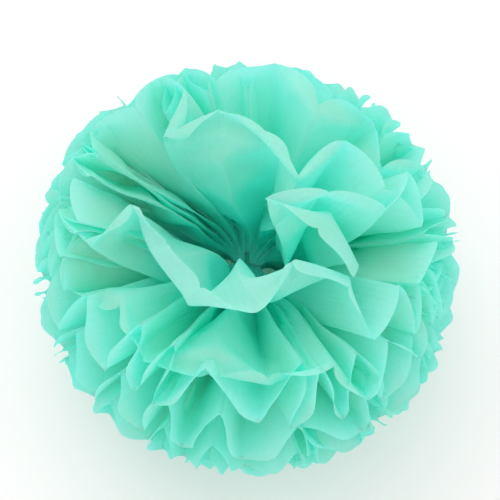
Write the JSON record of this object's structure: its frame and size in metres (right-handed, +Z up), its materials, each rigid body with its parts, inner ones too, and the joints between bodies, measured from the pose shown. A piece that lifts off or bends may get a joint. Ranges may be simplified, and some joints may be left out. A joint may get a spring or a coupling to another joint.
{
  "type": "tissue paper pom pom",
  "caption": "Tissue paper pom pom: stacked, accordion-pleated sheets tied at the middle with wire, their round petals pulled open into a ball for hanging or table decoration.",
  "frame": {"origin": "centre of the ball's footprint, on the surface that it rests on", "axes": "+Z up from the resting surface through the tie to the open top, +X along the seam between the two fans of petals, +Y from the seam into one fan"},
  "size_m": [0.2544, 0.248, 0.2039],
  "materials": {
    "tissue": "matt, thin and translucent",
    "wire": "bright drawn wire"
  },
  "bodies": {
    "root": {"tissue_sheet_01": "tissue", "tissue_sheet_02": "tissue", "tissue_sheet_03": "tissue", "tissue_sheet_04": "tissue", "tissue_sheet_05": "tissue", "tissue_sheet_06": "tissue", "tissue_sheet_07": "tissue", "tissue_sheet_08": "tissue", "tissue_sheet_09": "tissue", "tissue_sheet_10": "tissue", "wire_tie": "wire"}
  },
  "joints": []
}
